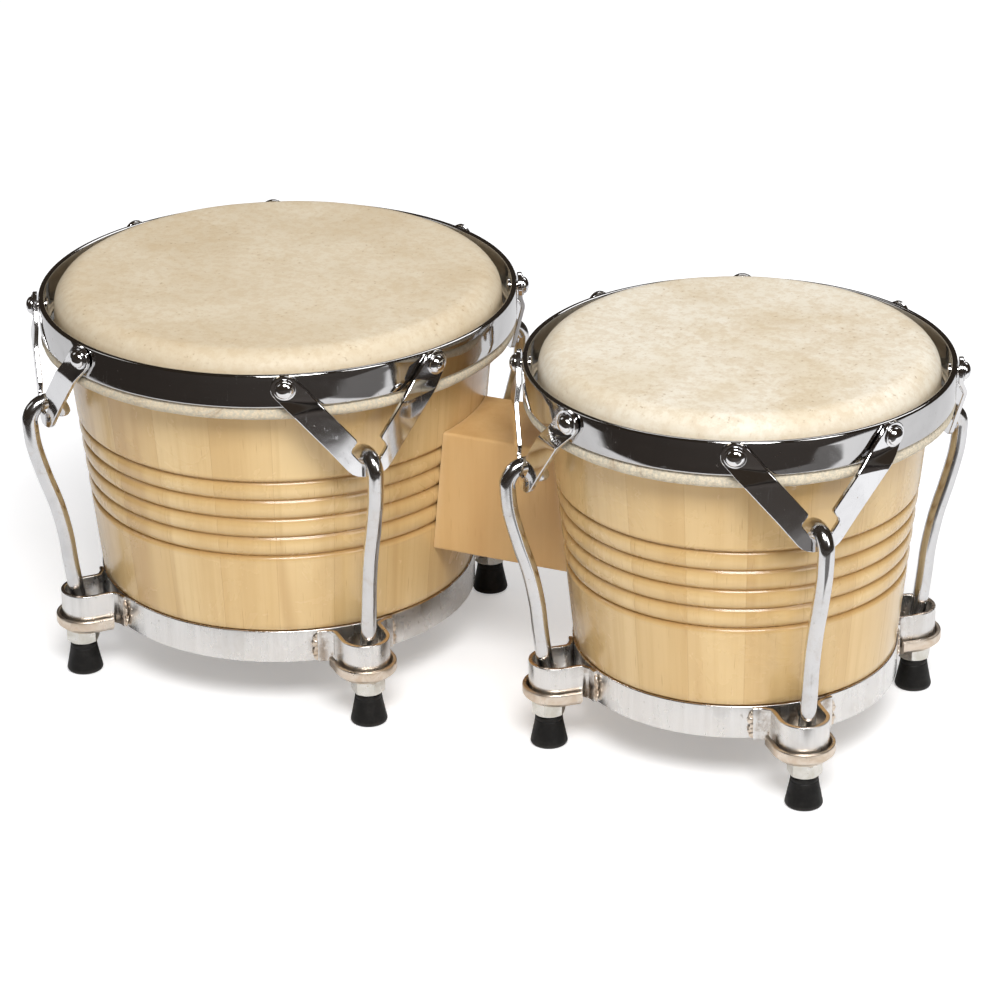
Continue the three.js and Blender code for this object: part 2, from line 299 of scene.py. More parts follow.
def makeHandling():
    # Finger smudges, fine scratches and specks on metal or lacquer.
    tree, source = newGroup("handlingMarks", "Smudge Size", ("Smudge", "Scratches", "Specks"))
    vector = resized(tree, source["Vector"], source["Smudge Size"])
    smudge = spread(tree, noiseAt(tree, vector, 70, 5, 0.62, 0.6), 0.42, 0.72)
    lines = noiseAt(tree, stretched(tree, vector, 1, 0.35, 0.07), 900, 2, 0.5, 1.2)
    cross = noiseAt(tree, stretched(tree, vector, 0.07, 1, 0.5), 700, 2, 0.5, 1.0)
    scratches = maths(tree, "MAXIMUM", spread(tree, lines, 0.66, 0.74), spread(tree, cross, 0.68, 0.76))
    specks = spread(tree, noiseAt(tree, vector, 620, 2, 0.5), 0.7, 0.78)
    return groupDone(tree, Smudge=smudge, Scratches=scratches, Specks=specks)


def makeEdgeWear():
    # Bright on convex edges and dark in hollows, broken up by noise.
    tree, source = newGroup("edgeWear", "Break Up", ("Worn", "Hollow"))
    point = tree.nodes.new("ShaderNodeNewGeometry").outputs["Pointiness"]
    rough = noiseAt(tree, source["Vector"], 240, 4, 0.6)
    broken = times(tree, minus(tree, rough, 0.5), source["Break Up"])
    shifted = plus(tree, point, times(tree, broken, 0.06))
    return groupDone(tree, Worn=spread(tree, shifted, 0.51, 0.58), Hollow=spread(tree, point, 0.49, 0.44))


woodGrain, handlingMarks, edgeWear = makeWoodGrain(), makeHandling(), makeEdgeWear()


def newMaterial(name, **constants):
    material = bpy.data.materials.new(name)
    material.use_nodes = True
    shader = material.node_tree.nodes["Principled BSDF"]
    for label, value in constants.items():
        shader.inputs[label.replace("_", " ")].default_value = value
    return material, material.node_tree, shader


def useGroup(tree, group, vector, **values):
    made = tree.nodes.new("ShaderNodeGroup")
    made.node_tree = group
    tree.links.new(vector, made.inputs["Vector"])
    for label, value in values.items():
        made.inputs[label.replace("_", " ")].default_value = value
    return made.outputs


def bumped(tree, shader, height, distance, strength):
    bump = node(tree, "ShaderNodeBump", Height=height, Distance=distance, Strength=strength)
    tree.links.new(bump.outputs[0], shader.inputs["Normal"])


def layered(tree, colour, layers):
    # Lays each tint over the colour where its mask is, as strongly as its share says.
    for mask, share, tint in layers:
        colour = mixed(tree, mask if share == 1 else times(tree, mask, share), colour, tint)
    return colour


def surfaced(tree, shader, colour, rough, height, distance, strength):
    tree.links.new(colour, shader.inputs["Base Color"])
    tree.links.new(rough, shader.inputs["Roughness"])
    bumped(tree, shader, height, distance, strength)


def objectCoords(tree):
    return tree.nodes.new("ShaderNodeTexCoord").outputs["Object"]


def apart(tree, vector):
    return node(tree, "ShaderNodeSeparateXYZ", Vector=vector).outputs


def drumCoords(tree, drum):
    # Coordinates from the drum's own axis.
    return node(tree, "ShaderNodeVectorMath", {"operation": "SUBTRACT"}, i0=objectCoords(tree),
                i1=(drum["x"] * mm, 0, 0)).outputs[0]


staveLook = {
    "largeCount": 22, "smallCount": 19,
    "pale": (0.745, 0.54, 0.268, 1), "fair": (0.685, 0.475, 0.218, 1), "tan": (0.58, 0.37, 0.145, 1),
    "brown": (0.42, 0.225, 0.07, 1), "groove": (0.40, 0.22, 0.075, 1), "raw": (0.62, 0.44, 0.24, 1),
    "roughness": 0.24, "coat": 0.34,
}


def makeStaveWood(drum):
    # Vertical staves: each has its own tone and grain, with a hair-fine glue line between them.
    material, tree, shader = newMaterial("staveWood_" + drum["name"], Coat_Roughness=0.12, IOR=1.5)
    pale, fair, tan, brown = (staveLook[key] for key in ("pale", "fair", "tan", "brown"))
    centred = drumCoords(tree, drum)
    parts = apart(tree, centred)
    angle = maths(tree, "ARCTAN2", parts[1], parts[0])
    turns = times(tree, plus(tree, angle, math.pi), staveLook[drum["name"] + "Count"] / (2 * math.pi))
    drift = times(tree, minus(tree, noiseAt(tree, centred, 14), 0.5), 0.03)
    turns = plus(tree, turns, drift)
    index = maths(tree, "FLOOR", turns)
    across = maths(tree, "FRACT", turns)
    tone = node(tree, "ShaderNodeTexWhiteNoise", {"noise_dimensions": "1D"}, W=index).outputs["Value"]
    flat = node(tree, "ShaderNodeCombineXYZ", X=parts[0], Y=parts[1]).outputs[0]
    radius = node(tree, "ShaderNodeVectorMath", {"operation": "LENGTH"}, i0=flat).outputs["Value"]
    along = times(tree, angle, drum["rim"] * 0.88 * mm)
    lift = plus(tree, parts[2], times(tree, tone, 7.0))
    grainAt = node(tree, "ShaderNodeCombineXYZ", X=along, Y=times(tree, index, 3.7), Z=lift).outputs[0]
    grain = useGroup(tree, woodGrain, grainAt, Fineness=0.8)
    marks = useGroup(tree, handlingMarks, centred, Smudge_Size=0.5)
    seam = maths(tree, "MINIMUM", across, minus(tree, 1.0, across))
    seam = spread(tree, seam, 0.012, 0.002)
    base = ramp(tree, tone, [(0.0, fair), (0.3, pale), (0.75, pale), (1.0, fair)])
    blush = noiseAt(tree, stretched(tree, centred, 1, 1, 0.4), 16, 3, 0.5, 0.6)
    cathedral = noiseAt(tree, stretched(tree, grainAt, 1, 1, 0.1), 32, 2, 0.5, 1.5)
    top, low = grooveLook["top"], grooveLook["top"] - (grooveLook["count"] - 1) * grooveLook["pitch"]
    phase = times(tree, minus(tree, parts[2], top * mm), math.pi / (grooveLook["pitch"] * mm))
    dip = maths(tree, "POWER", maths(tree, "ABSOLUTE", maths(tree, "COSINE", phase)), 12.0)
    inside = maths(tree, "LESS_THAN", parts[2], (top + 3) * mm)
    inside = times(tree, inside, maths(tree, "GREATER_THAN", parts[2], (low - 3) * mm))
    colour = layered(tree, base, [
        (spread(tree, blush, 0.45, 0.75, 0, 0.5), 1, tan),
        (spread(tree, grain["Streaks"], 0.25, 0.95), 0.42, tan),
        (spread(tree, cathedral, 0.55, 0.75), 0.4, brown),
        (grain["Pores"], 0.5, brown),
        (seam, 0.3, brown),
        (times(tree, maths(tree, "POWER", dip, 0.2), inside), 0.5, tan),  # soft shade round each groove
        # painted shade: a dark line laid in the bottom of each groove
        (times(tree, dip, inside), 0.75, staveLook["groove"]),
        # painted shade under the rim: the shell gets darker towards its top
        (spread(tree, parts[2], (drum["rimLow"] - 26) * mm, (drum["rimLow"] - 8) * mm, 0, 0.45), 1, tan),
    ])
    wall = spread(tree, radius, (drum["ring"] - 6) * mm, (drum["ring"] - 3) * mm)  # the inside is left raw
    colour = mixed(tree, wall, mixed(tree, 0.55, colour, staveLook["raw"]), colour)
    rough = spread(tree, wall, 0, 1, 0.72, staveLook["roughness"])
    rough = plus(tree, rough, times(tree, marks["Smudge"], 0.08))
    tree.links.new(times(tree, wall, staveLook["coat"]), shader.inputs["Coat Weight"])
    surfaced(tree, shader, colour, rough, minus(tree, grain["Height"], seam), 0.00005, 0.6)
    return material


blockLook = {
    "pale": (0.70, 0.45, 0.195, 1), "dark": (0.56, 0.31, 0.11, 1), "worn": (0.8, 0.6, 0.36, 1),
    "roughness": 0.4,
}


def makeBlockWood():
    material, tree, shader = newMaterial("blockWood", IOR=1.45)
    coords = objectCoords(tree)
    grain = useGroup(tree, woodGrain, coords, Fineness=0.7)
    wear = useGroup(tree, edgeWear, coords, Break_Up=1.0)
    figure = noiseAt(tree, stretched(tree, coords, 1, 1, 0.25), 45, 3, 0.5, 0.8)
    colour = layered(tree, blockLook["pale"], [
        (spread(tree, figure, 0.35, 0.75, 0, 0.6), 1, blockLook["dark"]),
        (grain["Streaks"], 0.35, blockLook["dark"]),
        (grain["Pores"], 0.5, blockLook["dark"]),
        (wear["Worn"], 0.25, blockLook["worn"]),
    ])
    rough = plus(tree, times(tree, grain["Streaks"], 0.12), blockLook["roughness"])
    surfaced(tree, shader, colour, rough, grain["Height"], 0.00006, 0.7)
    return material


hideLook = {
    "large": ((0.69, 0.575, 0.405, 1), (0.76, 0.66, 0.495, 1)), "amber": (0.56, 0.40, 0.21, 1),
    "small": ((0.75, 0.65, 0.485, 1), (0.85, 0.785, 0.655, 1)),
    "stain": (0.33, 0.20, 0.095, 1), "fuzz": (0.50, 0.455, 0.36, 1), "roughness": 0.5,
}


def makeRawhide(drum):
    # Cream skin, clouded and flecked, with a painted highlight on its shoulder, darker down its side with
    # painted shade inside the rim, and frayed where it rolls round the hoop.
    material, tree, shader = newMaterial("rawhide_" + drum["name"], IOR=1.48)
    amber, stain = hideLook["amber"], hideLook["stain"]
    cream, light = hideLook[drum["name"]]
    vector = node(tree, "ShaderNodeVectorMath", {"operation": "ADD"}, i0=objectCoords(tree),
                  i1=(drum["rim"] * 0.01, 0, 0)).outputs[0]  # so that the two skins differ
    height = apart(tree, objectCoords(tree))[2]
    clouds = noiseAt(tree, vector, 13, 4, 0.6, 0.7)
    patches = noiseAt(tree, vector, 38, 5, 0.65, 0.3)
    mottle = noiseAt(tree, vector, 260, 4, 0.7)
    specks = spread(tree, noiseAt(tree, vector, 520, 2, 0.5), 0.66, 0.74)
    specks = times(tree, specks, spread(tree, patches, 0.35, 0.6))
    hairs = noiseAt(tree, stretched(tree, vector, 1, 0.12, 1), 1500, 1, 0.5, 0.5)
    colour = layered(tree, cream, [
        (spread(tree, clouds, 0.36, 0.62), 1, light),
        (spread(tree, patches, 0.46, 0.74, 0, 0.36), 1, amber),
        (spread(tree, mottle, 0.4, 0.62, 0, 0.32), 1, amber),
        (specks, 0.55, stain),
        (spread(tree, hairs, 0.66, 0.8, 0, 0.3), 1, amber),
        # painted highlight: the shoulder and side are lighter than the flat top
        (spread(tree, height, (drum["headTop"] - 0.6) * mm, (drum["headTop"] - 7) * mm), 0.3, light),
        # painted shade: the skin goes amber down its side, inside the rim
        (spread(tree, height, (drum["rimTop"] + 2.5) * mm, (drum["rimLow"] + 4) * mm), 0.6, amber),
    ])
    roll = spread(tree, height, (drum["rimLow"] + 0.6) * mm, (drum["rimLow"] - 0.4) * mm)
    fuzz = noiseAt(tree, vector, 800, 5, 0.75)
    frayed = mixed(tree, spread(tree, fuzz, 0.35, 0.65), hideLook["fuzz"], cream)
    dirt = spread(tree, noiseAt(tree, vector, 75, 4, 0.7, 1.0), 0.52, 0.74)
    frayed = layered(tree, frayed, [(dirt, 0.6, stain)])
    colour = mixed(tree, roll, colour, frayed)
    rough = plus(tree, spread(tree, mottle, 0.3, 0.7, -0.05, 0.09), hideLook["roughness"])
    rough = plus(tree, rough, times(tree, roll, 0.35))
    grainy = plus(tree, times(tree, mottle, 0.5), times(tree, patches, 0.7))
    fluffy = times(tree, times(tree, fuzz, roll), 1.5)
    surfaced(tree, shader, colour, rough, plus(tree, grainy, fluffy), 0.00022, 0.75)
    return material


def makeChrome(name, tint, roughness, smudge, stained):
    # Bright plating: near-mirror, with smudges, hairline scratches and a few dull specks.
    material, tree, shader = newMaterial(name, Metallic=1.0)
    coords = objectCoords(tree)
    marks = useGroup(tree, handlingMarks, coords, Smudge_Size=1.0)
    wear = useGroup(tree, edgeWear, coords, Break_Up=0.6)
    dull = tuple(channel * 0.72 for channel in tint[:3]) + (1,)
    brown = (tint[0] * 0.55, tint[1] * 0.42, tint[2] * 0.30, 1)
    layers = [(marks["Smudge"], 0.3, dull), (marks["Specks"], 0.5, brown)]
    if stained:
        stains = noiseAt(tree, coords, 130, 5, 0.7, 1.0)
        layers.append((spread(tree, stains, 0.5, 0.72, 0, stained), 1, brown))
    colour = layered(tree, tint, layers + [(wear["Hollow"], 0.45, brown)])
    rough = plus(tree, times(tree, marks["Smudge"], smudge), roughness)
    rough = plus(tree, rough, times(tree, marks["Scratches"], 0.12))
    rough = plus(tree, rough, times(tree, marks["Specks"], 0.25))
    height = plus(tree, noiseAt(tree, coords, 55, 2, 0.4), times(tree, marks["Specks"], -0.05))
    surfaced(tree, shader, colour, rough, height, 0.00012, 0.5)
    return material


plateLook = {
    "streaks": [(0.2, (0.73, 0.715, 0.695, 1)), (0.5, (0.79, 0.78, 0.765, 1)), (0.8, (0.84, 0.83, 0.82, 1))],
    "cloud": (0.56, 0.52, 0.47, 1), "topEdgeShade": (0.62, 0.46, 0.33, 1), "speck": (0.24, 0.2, 0.15, 1),
    "burnt": (0.25, 0.17, 0.10, 1), "hollow": (0.2, 0.16, 0.12, 1), "worn": (0.85, 0.84, 0.83, 1),
}


def makeStreakedPlate(drum):
    # Dull plated band: cloudy, with upright streaks, burnt brown round the loops' welds, and painted shade on
    # its upward-facing top.
    material, tree, shader = newMaterial("platedBand_" + drum["name"], Metallic=1.0)
    coords = objectCoords(tree)
    parts = apart(tree, drumCoords(tree, drum))
    degrees = times(tree, maths(tree, "ARCTAN2", parts[1], parts[0]), 180 / math.pi)
    degrees = maths(tree, "MODULO", plus(tree, degrees, 360 - drum["turn"]), 90.0)
    fromLug = maths(tree, "ABSOLUTE", minus(tree, degrees, 45.0))
    burnt = times(tree, spread(tree, fromLug, 7.5, 10), spread(tree, fromLug, 15, 12))
    burnt = times(tree, burnt, spread(tree, noiseAt(tree, coords, 170, 4, 0.7), 0.35, 0.62))
    marks = useGroup(tree, handlingMarks, coords, Smudge_Size=0.8)
    wear = useGroup(tree, edgeWear, coords, Break_Up=0.8)
    streaks = noiseAt(tree, stretched(tree, coords, 1, 1, 0.05), 260, 4, 0.65)
    clouds = noiseAt(tree, coords, 60, 4, 0.6, 0.5)
    facing = apart(tree, tree.nodes.new("ShaderNodeNewGeometry").outputs["Normal"])
    colour = layered(tree, ramp(tree, streaks, plateLook["streaks"]), [
        (spread(tree, clouds, 0.5, 0.75, 0, 0.35), 1, plateLook["cloud"]),
        # painted shade: faces turned upwards go brown
        (spread(tree, facing[2], 0.75, 0.97, 0, 0.7), 1, plateLook["topEdgeShade"]),
        (marks["Specks"], 0.4, plateLook["speck"]),
        (burnt, 0.7, plateLook["burnt"]),
        (wear["Hollow"], 0.6, plateLook["hollow"]),
        (wear["Worn"], 0.5, plateLook["worn"]),
    ])
    rough = plus(tree, spread(tree, streaks, 0.3, 0.7, 0.27, 0.19), times(tree, marks["Smudge"], 0.12))
    surfaced(tree, shader, colour, rough, plus(tree, streaks, times(tree, clouds, 0.8)), 0.00005, 0.5)
    return material


def makeNickel(name, bright, warm, dark, roughness):
    # Thin, warm plating, clouded and dark in its hollows.
    material, tree, shader = newMaterial(name, Metallic=1.0)
    coords = objectCoords(tree)
    marks = useGroup(tree, handlingMarks, coords, Smudge_Size=1.6)
    wear = useGroup(tree, edgeWear, coords, Break_Up=1.2)
    clouds = noiseAt(tree, coords, 150, 5, 0.65, 0.6)
    colour = layered(tree, bright, [(spread(tree, clouds, 0.34, 0.68), 1, warm), (wear["Hollow"], 0.7, dark),
                                    (marks["Specks"], 0.6, dark), (wear["Worn"], 0.4, bright)])
    rough = plus(tree, spread(tree, clouds, 0.3, 0.7, 0, 0.16), roughness)
    height = plus(tree, clouds, times(tree, marks["Specks"], -0.3))
    surfaced(tree, shader, colour, rough, height, 0.00007, 0.6)
    return material


rubberLook = {
    "black": (0.006, 0.0056, 0.0052, 1), "bloom": (0.016, 0.015, 0.0135, 1), "dust": (0.07, 0.063, 0.056, 1),
    "worn": (0.05, 0.047, 0.044, 1), "roughness": 0.46,
}


def makeRubber():
    # Black rubber with a faint bloom, dusty where it stands.
    material, tree, shader = newMaterial("blackRubber", IOR=1.5, Specular_IOR_Level=0.22)
    coords = objectCoords(tree)
    marks = useGroup(tree, handlingMarks, coords, Smudge_Size=2.0)
    wear = useGroup(tree, edgeWear, coords, Break_Up=1.5)
    bloom = noiseAt(tree, coords, 180, 5, 0.7)
    colour = layered(tree, rubberLook["black"], [
        (spread(tree, bloom, 0.4, 0.75), 1, rubberLook["bloom"]),
        (spread(tree, apart(tree, coords)[2], 0.0025, 0.0), 0.35, rubberLook["dust"]),
        (wear["Worn"], 0.3, rubberLook["worn"]),
    ])
    rough = plus(tree, times(tree, marks["Smudge"], 0.18), rubberLook["roughness"])
    surfaced(tree, shader, colour, rough, bloom, 0.00006, 0.6)
    return material


# The skin: its thickness, its round shoulder, the roll round its hoop, and where its side wall stretches.
headLook = {
    "thick": 1.3, "shoulder": 11.0, "roll": 2.9, "rollThick": 0.95, "steps": 168,
    "stretchTop": 161.0, "stretchLow": 151.5,
}

# Shells, with the grooves turned round them.
shellLook = {"wall": 7.5, "bore": 0.1, "foot": 0.5, "steps": 200}
grooveLook = {"top": 111.3, "pitch": 8.9, "count": 5, "deep": 2.4, "bead": 2.0, "lip": 2.4}

chromeLook = {  # tint, roughness, smudging, staining
    "rimChrome": ((0.58, 0.575, 0.575, 1), 0.045, 0.07, 0.0),
    "strapChrome": ((0.81, 0.81, 0.82, 1), 0.065, 0.06, 0.0),
    "hookChrome": ((0.72, 0.72, 0.725, 1), 0.13, 0.10, 0.25),
}
nickelLook = {  # bright, warm and dark tints, roughness
    "warmNickel": ((0.80, 0.71, 0.61, 1), (0.68, 0.55, 0.42, 1), (0.24, 0.15, 0.09, 1), 0.26),
    "nutNickel": ((0.80, 0.79, 0.75, 1), (0.68, 0.66, 0.59, 1), (0.20, 0.17, 0.14, 1), 0.24),
    "hiddenZinc": ((0.66, 0.67, 0.68, 1), (0.55, 0.54, 0.50, 1), (0.15, 0.13, 0.11, 1), 0.34),
}
rimChrome, strapChrome, hookChrome = (makeChrome(name, *look) for name, look in chromeLook.items())
warmNickel, nutNickel, hiddenZinc = (makeNickel(name, *look) for name, look in nickelLook.items())
blockWood = makeBlockWood()
blackRubber = makeRubber()
print("materials made")


def shellProfile(drum):
    wall, foot, rebate = shellLook["wall"], drum["shellLow"] + shellLook["foot"], drum["ring"] - 2.1
    ringTop = drum["ringTop"] + 0.3
    high, pitch = grooveLook["top"], grooveLook["pitch"]
    low = high - (grooveLook["count"] - 1) * pitch
    outer = [(rebate, foot), (rebate, ringTop), (shellRadius(drum, ringTop) - 0.4, ringTop)]
    z = ringTop + 0.5
    while z < drum["headTop"] - headLook["shoulder"] - 2:
        if low <= z <= high:  # rounded beads that meet in the grooves
            fromBead = abs(2 * (((high - z) / pitch) % 1) - 1)
        else:
            fromBead = max(0, 1 - max(low - z, z - high) / grooveLook["lip"])
        dip = grooveLook["deep"] * (1 - math.sqrt(max(0, 1 - fromBead ** grooveLook["bead"])))
        outer.append((shellRadius(drum, z) - min(dip, 0.75 * grooveLook["deep"]), z))
        z += 0.3 if low - 3 < z < high + 3 else 3
    bend, shellTop = headLook["shoulder"], drum["shellTop"]  # the bearing edge follows the skin
    edge = arc(drum["skin"] - bend, drum["headTop"] - bend, bend - headLook["thick"] - 0.3, 4, 72, 12)
    bore = shellRadius(drum, shellTop) - wall
    inner = [(bore - 0.05, shellTop - 2), (bore - 0.3, shellTop - 4)]
    inner += [(bore - shellLook["bore"] * down, shellTop - down) for down in range(10, 140, 12)]
    return outer + edge + inner + [(rebate - wall + 1, foot), (rebate - wall + 1.5, drum["shellLow"])]


for drum in drums:
    shell = onDrum(drum, "stave_shell", lathe(shellProfile(drum), shellLook["steps"]), 50)
    finished(shell, makeStaveWood(drum), "shells", [drum["name"] + "_shell"])
print("shells turned")


# Heads: one skin from the playing surface, down inside the rim and round the flesh hoop.
def headProfile(drum):
    skin, top, thick, bend = drum["skin"], drum["headTop"], headLook["thick"], headLook["shoulder"]
    roll, rollX, rollZ = headLook["roll"], drum["rollOut"] - headLook["roll"], drum["rollZ"]
    flatEnd = skin - bend
    rings = [flatEnd * (i / 16) for i in range(17)]
    under = [(r, top - thick) for r in rings]
    underBend = arc(flatEnd, top - bend, bend - thick, 90, 0, 10)[1:]
    skirtIn = [(skin - thick + flare, z) for flare, z in ((0, 158), (0, 155.5), (0.1, 153), (0.7, 150.6))]
    wrap = arc(rollX, rollZ, roll, 170, 458, 26)
    wrapBack = arc(rollX, rollZ, roll - headLook["rollThick"], 458, 165, 16)
    skirtOut = [(skin + flare, z) for flare, z in ((0.75, 151.2), (0.2, 153.4), (0, 155.5), (0, 158))]
    overBend = arc(flatEnd, top - bend, bend, 0, 90, 18)
    over = [(r, top) for r in reversed(rings[:-1])]
    return under + underBend + skirtIn + wrap + wrapBack + skirtOut + overBend + over


for drum in drums:
    bm = lathe(headProfile(drum), headLook["steps"])
    seed = Vector((drum["rim"], 3.1, 0))
    for vert in bm.verts:
        reach = vert.co.xy.length
        if vert.co.z > drum["rimTop"]:  # gentle hollows in the skin, and an uneven shoulder
            dents = 0.16 * noise.noise((vert.co + seed) * 0.035) + 0.07 * noise.noise((vert.co + seed) * 0.16)
            vert.co.z += dents - 0.2
        if reach > 1:
            low = vert.co.z < drum["rimLow"]
            swell = 1 + (0.0032 if low else 0.0016) * noise.noise((vert.co + seed) * (0.11 if low else 0.05))
            swell += (0.0018 * noise.noise((vert.co + seed) * 0.5)) if low else 0
            vert.co.x *= swell
            vert.co.y *= swell
    head = onDrum(drum, "rawhide_head", bm, 80)
    finished(head, makeRawhide(drum))
    top, low = ((drum["x"] * mm, 0, headLook[key] * mm) for key in ("stretchTop", "stretchLow"))
    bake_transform(head)
    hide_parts(drum["name"] + "_head", drum["name"] + "_head_tuck")
print("heads stretched")


# Flesh hoops keep their CAD shape: a plain wire ring inside the wrapped skin.
for drum in drums:
    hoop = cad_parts[drum["name"] + "_flesh_hoop"]
    hoop.data.materials.clear()
    hoop.data.materials.append(hiddenZinc)


# Rims: a rolled band with softened edges.
rimLook = {"thick": 2.5, "edge": 0.9, "steps": 240}

for drum in drums:
    out, inside, edge = drum["rim"], drum["rim"] - rimLook["thick"], rimLook["edge"]
    low, top = drum["rimLow"] + edge, drum["rimTop"] - edge
    profile = []
    for r, z, start in ((out - edge, top, 0), (inside + edge, top, 90),
                        (inside + edge, low, 180), (out - edge, low, 270)):
        profile += arc(r, z, edge, start, start + 90, 5)
    profile += [(out, low + (top - low) * i / 4) for i in (1, 2, 3)]
    rim = onDrum(drum, "tension_rim", lathe(profile, rimLook["steps"]))
    finished(rim, rimChrome, drum["body"], [drum["name"] + "_rim"])
print("rims rolled")


# Straps: a flat V bent at its point, with its two tabs curved to the rim and riveted.
strapLook = {
    "thick": 2.0, "gap": 0.5, "edge": 0.4, "bend": 11.5, "crease": 4.0, "tabLow": 147.6, "tabHigh": 157.0,
}
rivetLook = {"spread": 33.5, "height": 160.3, "collar": 4.5, "dome": 3.75, "tall": 3.0}


def strapOutline():
    right = [(0, 118.75), (3.0, 118.85), (5.6, 119.4), (7.6, 120.45), (9.2, 121.9), (17.6, 132.4),
             (25, 141.2), (31.6, 149.1), (33.9, 151.8), (35.9, 154.3)]
    right += arc(rivetLook["spread"], rivetLook["height"], 5.8, -30, 142, 14)
    right += [(26.6, 161.4), (25.1, 159.6), (20.4, 153.9), (16.5, 149.2), (10.9, 142.4), (5.6, 136.0),
              (5.25, 135.2), (5.5, 134.4), (7.4, 131.9), (7.7, 130.8), (7.3, 129.8), (3.9, 125.4), (2.2, 124.5)]
    return right + [(0, 124.3)] + [(-s, z) for s, z in reversed(right[1:])]


def smoothStep(value, low, high):
    t = min(max((value - low) / (high - low), 0), 1)
    return t * t * (3 - 2 * t)


def strapPlace(drum, s, out, z):
    bend, crease = math.radians(strapLook["bend"]), strapLook["crease"]
    tab = drum["rim"] + strapLook["gap"] + strapLook["thick"] / 2
    far = math.hypot(s, crease) - crease
    arm = bend * s / math.hypot(s, crease)
    onArm = Vector((drum["seat"] - far * math.sin(bend) + out * math.cos(arm),
                    s * math.cos(bend) + out * math.sin(arm)))
    onRim = Vector((math.cos(s / tab), math.sin(s / tab))) * (tab + out)
    place = onArm.lerp(onRim, smoothStep(z, strapLook["tabLow"], strapLook["tabHigh"]))
    return Vector((place.x, place.y, z))


def strapMesh(drum):
    bm = bmesh.new()
    half = strapLook["thick"] / 2
    face = bm.faces.new([bm.verts.new((s, -half, z)) for s, z in strapOutline()])
    lifted = bmesh.ops.extrude_face_region(bm, geom=[face])["geom"]
    outer = [part for part in lifted if isinstance(part, bmesh.types.BMVert)]
    bmesh.ops.translate(bm, vec=(0, 2 * half, 0), verts=outer)
    bmesh.ops.recalc_face_normals(bm, faces=bm.faces)
    rounded = [edge for edge in bm.edges if abs(edge.verts[0].co.y - edge.verts[1].co.y) < 1e-6]
    bmesh.ops.bevel(bm, geom=rounded, offset=strapLook["edge"], segments=3, profile=0.5, affect="EDGES")
    bmesh.ops.triangulate(bm, faces=[f for f in bm.faces if len(f.verts) > 4])
    cuts = [((s * 1.6, 0, 0), (1, 0, 0)) for s in range(-24, 25)]
    cuts += [((0, 0, 120 + 2.6 * i), (0, 0, 1)) for i in range(12)]
    cuts += [((0, 0, strapLook["tabLow"] + 0.8 * i), (0, 0, 1)) for i in range(13)]
    for place, direction in cuts:
        geometry = bm.verts[:] + bm.edges[:] + bm.faces[:]
        bmesh.ops.bisect_plane(bm, geom=geometry, dist=1e-5, plane_co=place, plane_no=direction)
    for vert in bm.verts:
        vert.co = strapPlace(drum, vert.co.x, vert.co.y, vert.co.z)
    return bm


def rivetMesh(drum):
    plate, inside = drum["rim"] + strapLook["gap"] + strapLook["thick"], drum["rim"] - rimLook["thick"]
    collar, dome, tall = rivetLook["collar"], rivetLook["dome"], rivetLook["tall"]
    head = [(collar - 0.25, plate - 0.05), (collar, plate + 0.15), (collar, plate + 0.45)]
    head += [(collar - 0.3, plate + 0.62)]
    head += [(x, plate + 0.62 + (tall - 0.62) / dome * y) for x, y in arc(0, 0, dome, 0, 81, 9)]
    tail = [(0, inside - 1.5), (2.6, inside - 1.45), (3.1, inside - 1.1), (3.1, inside - 0.3)]
    tail += [(2, inside - 0.2)]
    bm = lathe(tail + [(2, plate - 0.05)] + head + [(0, plate + tall)], 32)
    stand = Matrix.Translation((0, 0, rivetLook["height"])) @ Matrix.Rotation(math.radians(90), 4, "Y")
    return transformed(bm, stand)


for drum in drums:
    straps = copiesRound(toObject("strapBase", strapMesh(drum), 13), drum, "formed_strap")
    for place, strap in straps.items():
        finished(strap, strapChrome, drum["body"], [f"{drum['name']}_strap_{place}"])
    tab = drum["rim"] + strapLook["gap"] + strapLook["thick"] / 2
    turn = math.degrees(rivetLook["spread"] / tab)
    for hand, sign in (("right", 1), ("left", -1)):
        base = transformed(rivetMesh(drum), Matrix.Rotation(math.radians(sign * turn), 4, "Z"))
        for rivet in copiesRound(toObject("rivetBase", base, 30), drum, "rivet_" + hand).values():
            finished(rivet, strapChrome, drum["body"])
print("straps riveted")


# Hooks: a thick rod, threaded at the foot end, bent over at the top to sit in the strap's notch.
hookLook = {
    "radius": 3.42, "arch": 7.6, "archTop": 121.2, "sides": 28, "twist": 0.15,
    "pitch": 1.25, "ridge": 0.42, "threadTop": 27.0,
}


def hookLine(drum):
    reach = drum["seat"] - 1 + hookLook["arch"] - drum["rod"]
    lean = [(0, 17), (0, 29), (0.11, 41), (0.2, 53), (0.28, 66), (0.46, 81), (0.73, 96), (0.94, 110)]
    points = [(drum["rod"], z) for z in (3.6, 10)] + [(drum["rod"] + share * reach, z) for share, z in lean]
    over = arc(drum["rod"] + reach - hookLook["arch"], hookLook["archTop"], hookLook["arch"], 0, 180, 12)
    return points + over


def smoothLine(points, finely):
    # Passes through every point; finely(x, z) gives the spacing wanted there.
    line = []
    for i in range(len(points) - 1):
        a, b = Vector(points[i]), Vector(points[i + 1])
        before = Vector(points[i - 1]) if i else 2 * a - b
        after = Vector(points[i + 2]) if i + 2 < len(points) else 2 * b - a
        count = max(1, round((b - a).length / finely(*((a + b) / 2))))
        for k in range(count):
            t = k / count
            line.append(0.5 * (2 * a + (b - before) * t + (2 * before - 5 * a + 4 * b - after) * t * t
                               + (3 * a - before - 3 * b + after) * t ** 3))
    return line + [Vector(points[-1])]


